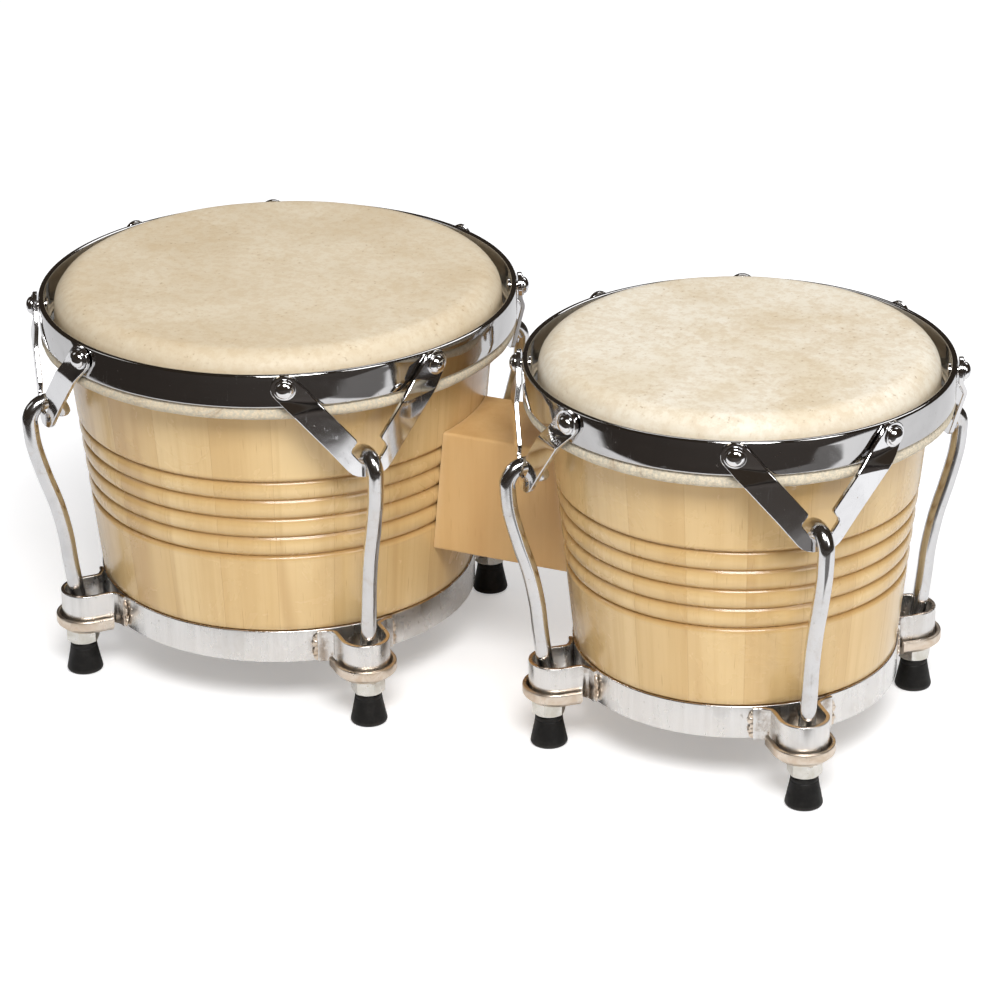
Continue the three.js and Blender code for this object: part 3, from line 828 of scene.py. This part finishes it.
def hookMesh(drum):
    threadTop = hookLook["threadTop"]
    line = smoothLine(hookLine(drum), lambda x, z: 0.21 if z < threadTop and x < drum["rod"] + 3 else 1.3)
    reach = drum["seat"] - 1 + hookLook["arch"] - drum["rod"]
    archStart = max(i for i, point in enumerate(line) if point.x >= line[0].x + reach - 0.01)
    rings = []
    for i, point in enumerate(line):
        run = (line[min(i + 1, len(line) - 1)] - line[max(i - 1, 0)]).normalized()
        out = Vector((run.y, -run.x))
        fromTip = (line[-1] - point).length
        fade = 1 - smoothStep(point.y, threadTop - 1.5, threadTop) if i < len(line) / 2 else 0
        ring = []
        for k in range(hookLook["sides"]):
            a = 2 * math.pi * k / hookLook["sides"]
            turnUp = (point.y / hookLook["pitch"] + k / hookLook["sides"]) % 1
            radius = hookLook["radius"] - fade * hookLook["ridge"] * (abs(2 * turnUp - 1) ** 0.8)
            if fromTip < 0.8:
                radius -= 0.8 - math.sqrt(max(0, 0.64 - (0.8 - fromTip) ** 2))
            aside = hookLook["twist"] * max(0, line[0].x + reach - point.x) if i > archStart else 0
            ring.append((point.x + out.x * radius * math.cos(a), radius * math.sin(a) - aside,
                         point.y + out.y * radius * math.cos(a)))
        rings.append(ring)
    return loft(rings, caps=True)


for drum in drums:
    hooks = copiesRound(toObject("hookBase", hookMesh(drum), 45), drum, "bent_hook")
    for place, hook in hooks.items():
        finished(hook, hookChrome, drum["body"], [f"{drum['name']}_hook_{place}"])
print("hooks bent")


# Bottom ring: a thin band with four loops spot-welded to it.
ringLook = {"thick": 1.8, "edge": 0.45, "loopRadius": 9.85, "loopBack": 2.4, "flange": 17.0}
weldLook = {
    "spots": [(16.7, 27.2), (17.2, 29.2), (16.6, 31.3), (17.1, 33.5), (16.5, 35.7)],
    "radius": 1.9, "tall": 0.85,
}


def bandSection(half, low, top, edge):
    # A rounded upright strip: (distance from its middle, height) pairs.
    section = []
    for d, z, start in ((half - edge, top - edge, 0), (edge - half, top - edge, 90),
                        (edge - half, low + edge, 180), (half - edge, low + edge, 270)):
        section += arc(d, z, edge, start, start + 90, 4)
    return section


def loopMesh(drum):
    flange, r, centre = drum["ring"] + 0.95, ringLook["loopRadius"], drum["rod"] - ringLook["loopBack"]
    onRing = [(math.sqrt(flange ** 2 - y ** 2), y) for y in (-ringLook["flange"], -15.3, -13.4)]
    side = onRing + [(flange + 0.15, -11.6), (flange + 0.9, -10.45), (flange + 2.6, -r), (centre - 2, -r)]
    middle = side + arc(centre, 0, r, -90, 90, 14) + [(x, -y) for x, y in reversed(side)]
    line = smoothLine(middle, lambda x, y: 0.9)
    low, top = drum["ringLow"] + 0.1, drum["ringTop"] - 0.1
    section = bandSection(ringLook["thick"] / 2, low, top, ringLook["edge"])
    rings = []
    for i, point in enumerate(line):
        run = (line[min(i + 1, len(line) - 1)] - line[max(i - 1, 0)]).normalized()
        rings.append([(point.x + run.y * d, point.y - run.x * d, z) for d, z in section])
    return loft(rings, caps=True)


def weldMesh(drum):
    bm = bmesh.new()
    for sign in (1, -1):
        for y, z in weldLook["spots"]:
            before = len(bm.verts)
            bmesh.ops.create_icosphere(bm, subdivisions=3, radius=weldLook["radius"])
            bm.verts.ensure_lookup_table()
            x = math.sqrt((drum["ring"] + 0.75) ** 2 - y ** 2)
            for vert in bm.verts[before:]:
                rough = 1 + 0.45 * noise.noise(vert.co * 1.1 + Vector((y * sign, z, 0)))
                vert.co.x = vert.co.x * weldLook["tall"] / weldLook["radius"] + x
                vert.co.y = vert.co.y * rough + y * sign
                vert.co.z = vert.co.z * rough + z
    return bm


for drum in drums:
    plated = makeStreakedPlate(drum)
    inside = drum["ring"] - ringLook["thick"] / 2
    section = bandSection(ringLook["thick"] / 2, drum["ringLow"], drum["ringTop"], ringLook["edge"])
    ring = onDrum(drum, "band_ring", lathe([(inside + d, z) for d, z in section], shellLook["steps"]))
    finished(ring, plated, "shells", [drum["name"] + "_bottom_ring"])
    for piece in copiesRound(toObject("loopBase", loopMesh(drum), 40), drum, "ring_loop").values():
        finished(piece, plated, "shells")
    for piece in copiesRound(toObject("weldBase", weldMesh(drum), 50), drum, "spot_welds").values():
        finished(piece, warmNickel, "shells")
print("bottom rings welded")


# Cup washers: a deep saddle under each loop, open towards the shell.
cupLook = {"radius": 13.4, "wall": 1.8, "floor": 3.1, "back": 3.4, "bore": 4.25, "steps": 30}


def cupMesh(drum):
    low, top, r, wall = drum["cupLow"], drum["cupTop"], cupLook["radius"], cupLook["wall"]
    floor, back = low + cupLook["floor"], drum["ring"] + cupLook["back"]
    centre = drum["rod"] - ringLook["loopBack"]
    sections = [(3.4, low), (3.0, low + 0.06), (2.6, low + 0.3), (1.6, low + 1.2), (0.7, low + 2.0),
                (0.2, low + 2.5), (0.0, low + 2.95), (0.0, top - 0.7), (0.08, top - 0.35), (0.25, top - 0.1),
                (0.55, top), (wall - 0.55, top), (wall - 0.2, top - 0.12), (wall, top - 0.5),
                (wall + 0.05, floor + 0.9), (wall + 0.35, floor + 0.25), (wall + 1.0, floor)]
    bm = bmesh.new()
    rows = []
    for inset, z in sections:
        radius = r - inset
        outline = [(back, -radius), *arc(centre, 0, radius, -90, 90, cupLook["steps"]), (back, radius)]
        rows.append([bm.verts.new((x, y, z)) for x, y in outline])
    for below, above in zip(rows, rows[1:]):
        for j in range(len(below) - 1):
            bm.faces.new([below[j], below[j + 1], above[j + 1], above[j]])
    bm.faces.new([row[0] for row in rows] + [row[-1] for row in reversed(rows)])
    bore = []
    for z, grow in ((low, 0.35), (low + 0.35, 0), (floor - 0.3, 0), (floor, 0.3)):
        circle = arc(drum["rod"], 0, cupLook["bore"] + grow, 0, 360, 32)[:-1]
        bore.append([bm.verts.new((x, y, z)) for x, y in circle])
    for below, above in zip(bore, bore[1:]):
        for j in range(32):
            k = (j + 1) % 32
            bm.faces.new([below[k], below[j], above[j], above[k]])
    for row, hole in ((rows[0], bore[0]), (rows[-1], bore[-1])):
        rim = [bm.edges.get((row[j], row[j + 1])) for j in range(len(row) - 1)]
        rim.append(bm.edges.get((row[-1], row[0])) or bm.edges.new((row[-1], row[0])))
        rim += [bm.edges.get((hole[j], hole[(j + 1) % 32])) for j in range(32)]
        bmesh.ops.triangle_fill(bm, use_beauty=True, use_dissolve=False, edges=rim)
    return bm


for drum in drums:
    cups = copiesRound(toObject("cupBase", cupMesh(drum), 38), drum, "cupped_washer")
    for place, cup in cups.items():
        finished(cup, warmNickel, "shells", [f"{drum['name']}_cup_washer_{place}"])
print("washers pressed")


# Hexagonal pieces: each section is (height, the most its radius may be).
def hexagonRings(sections, across, steps=72):
    rings = []
    for z, most in sections:
        ring = []
        for k in range(steps):
            a = 360 * k / steps
            radius = min(across / 2 / math.cos(math.radians(a % 60 - 30)), most)
            ring.append((radius * math.cos(math.radians(a)), radius * math.sin(math.radians(a)), z))
        rings.append(ring)
    return rings


nutLook = {"across": 12.8, "bore": 3.75, "chamfer": 0.75}


def nutMesh(drum):
    low, top, half, soft = drum["nutLow"], drum["nutTop"], nutLook["across"] / 2, nutLook["chamfer"]
    corner = half / math.cos(math.radians(30))
    chamfer = [(0, half - 0.5), (0.12, half - 0.05), (soft * 0.55, half + 0.5), (soft, corner - 0.05),
               (soft + 0.3, corner)]
    outside = [(low + rise, r) for rise, r in chamfer] + [(top - rise, r) for rise, r in reversed(chamfer)]
    hole = nutLook["bore"]
    bore = [(top, hole + 0.6), (top - 0.6, hole), (low + 0.6, hole), (low, hole + 0.6)]
    bm = loft(hexagonRings(outside + bore, nutLook["across"]), loopClosed=True)
    return transformed(bm, Matrix.Translation((drum["rod"], 0, 0)))


for drum in drums:
    for place, nut in copiesRound(toObject("nutBase", nutMesh(drum), 28), drum, "hex_nut").items():
        old = f"{drum['name']}_nut_{place}"
        finished(nut, nutNickel, old, [old])
print("nuts cut")


# Feet: tapered rubber tips pushed on to the rods' ends.
footProfile = [
    (0, 0), (5.4, 0), (6.9, 0.07), (7.6, 0.4), (7.9, 1.05), (7.8, 1.9), (7.45, 3.4), (6.1, 10.2),
    (5.95, 11.3), (5.75, 11.5), (5.75, 11.75), (5.85, 11.95), (5.8, 12.9), (5.6, 13.55), (5.2, 13.9),
    (4.6, 14.0), (3.95, 13.95), (3.75, 13.6), (3.75, 3.3), (0, 3.3),
]

for drum in drums:
    bm = transformed(lathe(footProfile, 64), Matrix.Translation((drum["rod"], 0, 0)))
    for place, foot in copiesRound(toObject("footBase", bm, 35), drum, "rubber_foot").items():
        finished(foot, blackRubber, drum["body"], [f"{drum['name']}_foot_{place}"])
print("feet moulded")


# Centre block: its ends are hollowed to the two shells.
blockBox = boxMm("centre_block")
blockShape = {"gap": 0.15, "edge": 1.4, "steps": 24}


def blockEnd(drum, y, z):
    return drum["x"] + drum["side"] * math.sqrt((shellRadius(drum, z) + blockShape["gap"]) ** 2 - y ** 2)


def blockMesh():
    (low, top), edge = (blockBox[0][2], blockBox[1][2]), blockShape["edge"]
    sideY, sideZ, middle = blockBox[1][1] - edge, top - edge, (low + top) / 2
    corners = ((sideY, sideZ, 0), (-sideY, sideZ, 90), (-sideY, low + edge, 180), (sideY, low + edge, 270))
    section = []
    for i, (y, z, start) in enumerate(corners):
        section += arc(y, z, edge, start, start + 90, 5)
        nextY, nextZ, nextStart = corners[(i + 1) % 4]
        here = Vector(section[-1])
        there = Vector(arc(nextY, nextZ, edge, nextStart, nextStart, 1)[0])
        section += [tuple(here.lerp(there, k / 12)) for k in range(1, 12)]

    def shrunk(drum, share):
        small = [(y * share, middle + (z - middle) * share) for y, z in section]
        return [(blockEnd(drum, y, z), y, z) for y, z in small]

    shares, steps = (0.05, 0.3, 0.6, 0.85), blockShape["steps"]
    rings = [shrunk(drums[0], share) for share in shares]
    for i in range(steps + 1):
        t = i / steps
        ends = [(blockEnd(drums[0], y, z), blockEnd(drums[1], y, z), y, z) for y, z in section]
        rings.append([(near * (1 - t) + far * t, y, z) for near, far, y, z in ends])
    rings += [shrunk(drums[1], share) for share in reversed(shares)]
    return loft(rings, caps=True)


finished(toObject("hollowed_block", blockMesh(), 50), blockWood, "shells", ["centre_block"])


# Bolts and curved backing plates, seen only from underneath.
def boltMesh(length):
    head = [(0, 4.6), (0.12, 5.0), (0.7, 5.6), (1.0, 5.75), (3.6, 5.75), (4.0, 5.6), (4.02, 2.9)]
    shank = [(4.3, 2.9), (length - 0.6, 2.9), (length, 2.4)]
    return loft(hexagonRings(head + shank, 10), caps=True)


def plateMesh(drum, low, top):
    outside = shellRadius(drum, low) - shellLook["wall"] - 0.9
    facing, middle = 90 - 90 * drum["side"], (low + top) / 2
    rings = []
    for i in range(13):
        a = math.radians(facing - 12 + 2 * i)
        shrink = 1 if 0 < i < 12 else 0.93
        ring = []
        for d, z in bandSection(1, low, top, 0.4):
            z = middle + (z - middle) * shrink
            radius = outside - 1 + d * shrink + 0.1 * (z - low)
            ring.append((drum["x"] + radius * math.cos(a), radius * math.sin(a), z))
        rings.append(ring)
    return loft(rings, caps=True)


for drum in drums:
    plate = drum["name"] + "_backing_plate"
    plateBox = boxMm(plate)
    made = toObject(drum["name"] + "_curved_plate", plateMesh(drum, plateBox[0][2], plateBox[1][2]))
    finished(made, hiddenZinc, "shells", [plate])
    for height in ("lower", "upper"):
        old = f"{drum['name']}_block_bolt_{height}"
        low, high = boxMm(old)
        stand = Matrix.Rotation(math.radians(90 * drum["side"]), 4, "Y")
        start = Vector((low[0] if drum["side"] > 0 else high[0], 0, (low[2] + high[2]) / 2))
        bm = transformed(boltMesh(high[0] - low[0]), Matrix.Translation(start) @ stand)
        bolt = toObject(f"{drum['name']}_hex_bolt_{height}", bm, 28)
        finished(bolt, hiddenZinc, "shells", [old])
print("block bolted on")


# The box round everything that's shown, beside the CAD's own.
def visualBox():
    bpy.context.view_layer.update()
    shown = [o for o in bpy.data.objects if o.type == "MESH" and not o.hide_render]
    points = [o.matrix_world @ v.co for o in shown for v in o.data.vertices]
    return [[min(p[i] for p in points) for i in range(3)], [max(p[i] for p in points) for i in range(3)]]


{"cad": cadBox, "visual": visualBox()}


# Stage: pale floor, soft lights and the camera.
stageLook = {
    "floor": (0.90, 0.90, 0.905, 1), "fibre": (0.8865, 0.8865, 0.891425, 1), "floorSize": 14.0,
    # the dark tone and the card here are painted dark reflections, seen by glossy rays only
    "paperHalf": 0.1, "paperReach": 0.185, "paperFade": 0.21, "reflectedDark": (0.022, 0.014, 0.009, 1),
    "reflectedCard": 0.86, "cardX": (0.22, 0.52), "cardY": (-0.33, -0.15), "glow": 0.34, "farGlow": 0.5,
}


def pastPaper(tree, parts):
    # Painted dark reflections: polished parts see the floor go dark past the paper's edge and on a card-shaped
    # patch to its right.
    x, y, half = parts[0], parts[1], stageLook["paperHalf"]
    rightward = times(tree, minus(tree, x, half), 0.5)
    leftward = times(tree, minus(tree, -half, x), spread(tree, y, -0.13, -0.10, 0.75, 0.46))
    sideways = maths(tree, "MAXIMUM", maths(tree, "MAXIMUM", rightward, leftward), 0.0)
    across = maths(tree, "MAXIMUM", times(tree, y, 0.5), times(tree, y, -1.0))
    reach = maths(tree, "SQRT", plus(tree, times(tree, sideways, sideways), times(tree, across, across)))
    past = spread(tree, minus(tree, reach, half), stageLook["paperReach"], stageLook["paperFade"])
    reflectedCard = stageLook["reflectedCard"]
    for place, (low, high) in ((x, stageLook["cardX"]), (y, stageLook["cardY"])):
        reflectedCard = times(tree, spread(tree, place, low - 0.02, low), reflectedCard)
        reflectedCard = times(tree, spread(tree, place, high + 0.02, high), reflectedCard)
    return maths(tree, "MAXIMUM", past, reflectedCard)


def makeFloor():
    # Paper that glows a little for the camera alone, so that it stays white without lighting the metal.
    material, tree, shader = newMaterial("paperFloor", Roughness=0.9)
    coords = objectCoords(tree)
    rays = tree.nodes.new("ShaderNodeLightPath").outputs
    fibre = noiseAt(tree, coords, 900, 3, 0.6)
    colour = mixed(tree, spread(tree, fibre, 0.3, 0.7), stageLook["floor"], stageLook["fibre"])
    # painted dark reflections: only glossy rays see the floor's dark tone
    past = times(tree, pastPaper(tree, apart(tree, coords)), rays["Is Glossy Ray"])
    tree.links.new(mixed(tree, past, colour, stageLook["reflectedDark"]), shader.inputs["Base Color"])
    bumped(tree, shader, fibre, 0.00004, 0.3)
    away = node(tree, "ShaderNodeVectorMath", {"operation": "LENGTH"}, i0=coords).outputs["Value"]
    glow = plus(tree, spread(tree, away, 0.6, 3.0, 0, stageLook["farGlow"]), stageLook["glow"])
    shader.inputs["Emission Color"].default_value = (1, 1, 1, 1)
    tree.links.new(times(tree, rays["Is Camera Ray"], glow), shader.inputs["Emission Strength"])
    bm = bmesh.new()
    bmesh.ops.create_grid(bm, x_segments=4, y_segments=4, size=stageLook["floorSize"] / 2 / mm)
    floor = toObject("floor", bm)
    floor.data.materials.append(material)


def makeLight(name, place, size, power, target=(0, 0, 0.08)):
    data = bpy.data.lights.new(name, "AREA")
    data.shape, data.energy = "RECTANGLE", power
    data.size, data.size_y = size
    light = bpy.data.objects.new(name, data)
    bpy.context.collection.objects.link(light)
    light.location = place
    light.rotation_euler = (Vector(target) - Vector(place)).to_track_quat("-Z", "Y").to_euler()


lightLook = {
    "key": ((0.85, -1.5, 2.1), (1.1, 0.9), 56), "side": ((1.7, -0.7, 1.2), (0.6, 1.1), 8),
    "back": ((0.1, 1.7, 2.0), (2.2, 0.8), 12), "left": ((-1.8, -0.5, 1.4), (0.6, 1.1), 2),
}
worldLook = {
    "backdrop": (2.6, 2.6, 2.6, 1), "above": (0.80, 0.80, 0.82, 1), "below": (0.55, 0.53, 0.5, 1),
    "room": (0.10, 0.075, 0.055, 1), "front": (0.035, 0.026, 0.018, 1), "frontAt": 0.25, "strength": 0.36,
}


def makeWorld():
    # Pale above and below; metal sees a dim room, darkest on the camera's side; the camera sees white.
    world = bpy.data.worlds.new("studio")
    world.use_nodes = True
    tree = world.node_tree
    background = tree.nodes["Background"]
    parts = apart(tree, tree.nodes.new("ShaderNodeTexCoord").outputs["Generated"])
    angle = maths(tree, "ARCTAN2", parts[0], times(tree, parts[1], -1.0))
    fromFront = maths(tree, "ABSOLUTE", minus(tree, angle, worldLook["frontAt"]))
    low = spread(tree, parts[2], 0.05, -0.12)
    front = times(tree, spread(tree, fromFront, 1.0, 0.55), low)
    rays = tree.nodes.new("ShaderNodeLightPath").outputs
    colour, room = (mixed(tree, low, worldLook[key], worldLook["below"]) for key in ("above", "room"))
    colour, room = (mixed(tree, front, tone, worldLook["front"]) for tone in (colour, room))
    colour = mixed(tree, rays["Is Glossy Ray"], colour, room)
    colour = mixed(tree, rays["Is Camera Ray"], colour, worldLook["backdrop"])
    tree.links.new(colour, background.inputs["Color"])
    background.inputs["Strength"].default_value = worldLook["strength"]
    bpy.context.scene.world = world


makeFloor()
makeWorld()
for name, (place, size, power) in lightLook.items():
    makeLight(name + "Softbox", place, size, power)

cameraLook = {
    "place": (0.58876, -1.29070, 0.73418), "yaw": -0.425, "pitch": -0.432, "roll": -0.014, "lens": 130.49,
}


def makeCamera():
    yaw, pitch, roll = (cameraLook[key] for key in ("yaw", "pitch", "roll"))
    ahead = Vector((math.sin(yaw) * math.cos(pitch), math.cos(yaw) * math.cos(pitch), math.sin(pitch)))
    right = ahead.cross(Vector((0, 0, 1))).normalized()
    up = right.cross(ahead)
    leanRight = right * math.cos(roll) + up * math.sin(roll)
    leanUp = up * math.cos(roll) - right * math.sin(roll)
    data = bpy.data.cameras.new("camera")
    data.lens, data.sensor_width = cameraLook["lens"], 36
    camera = bpy.data.objects.new("camera", data)
    bpy.context.collection.objects.link(camera)
    turn = Matrix((leanRight, leanUp, -ahead)).transposed().to_4x4()
    camera.matrix_world = Matrix.Translation(cameraLook["place"]) @ turn
    bpy.context.scene.camera = camera


makeCamera()
bpy.context.scene.view_settings.view_transform = "Standard"
print("stage set")
